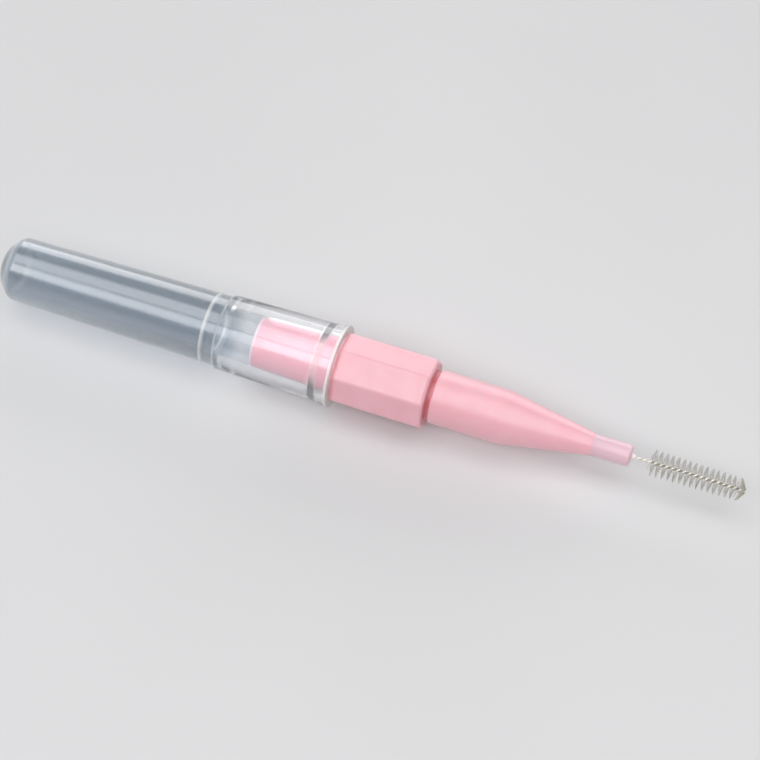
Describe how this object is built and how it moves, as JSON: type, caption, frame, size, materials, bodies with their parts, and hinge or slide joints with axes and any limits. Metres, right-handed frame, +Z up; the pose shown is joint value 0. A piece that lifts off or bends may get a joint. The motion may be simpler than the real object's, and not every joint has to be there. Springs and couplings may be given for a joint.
{
  "type": "interdental brush",
  "caption": "Interdental brush with a moulded handle, an eight-sided grip collar, a twisted-in-wire brush at the nose and a clear protective cap pushed on the tail.",
  "frame": {"origin": "on the axis of the brush where the straight seat of the neck begins, just in front of the groove at the collar", "axes": "+X along the axis of the brush towards the bristles, +Z up as the brush lies on a table"},
  "size_m": [0.0895, 0.0096, 0.0098],
  "materials": {
    "cap_clear": "clear moulded polypropylene, glossy outside, a faint haze in the slim tube",
    "handle_pink": "opaque pale pink moulded plastic, satin gloss",
    "wire_steel": "bright drawn stainless wire",
    "filament_nylon": "translucent natural nylon filament",
    "tuft_nylon": "translucent natural nylon filament, denser at the tip"
  },
  "bodies": {
    "handle": {"handle": "handle_pink", "twisted_wire": "wire_steel", "bristles": "filament_nylon", "tip_tuft": "tuft_nylon"},
    "cap": {"cap": "cap_clear"}
  },
  "joints": [
    {"name": "cap_slide", "type": "slide", "parent": "handle", "child": "cap", "axis": [-1, 0, 0], "range_m": [0, 0.012]}
  ]
}
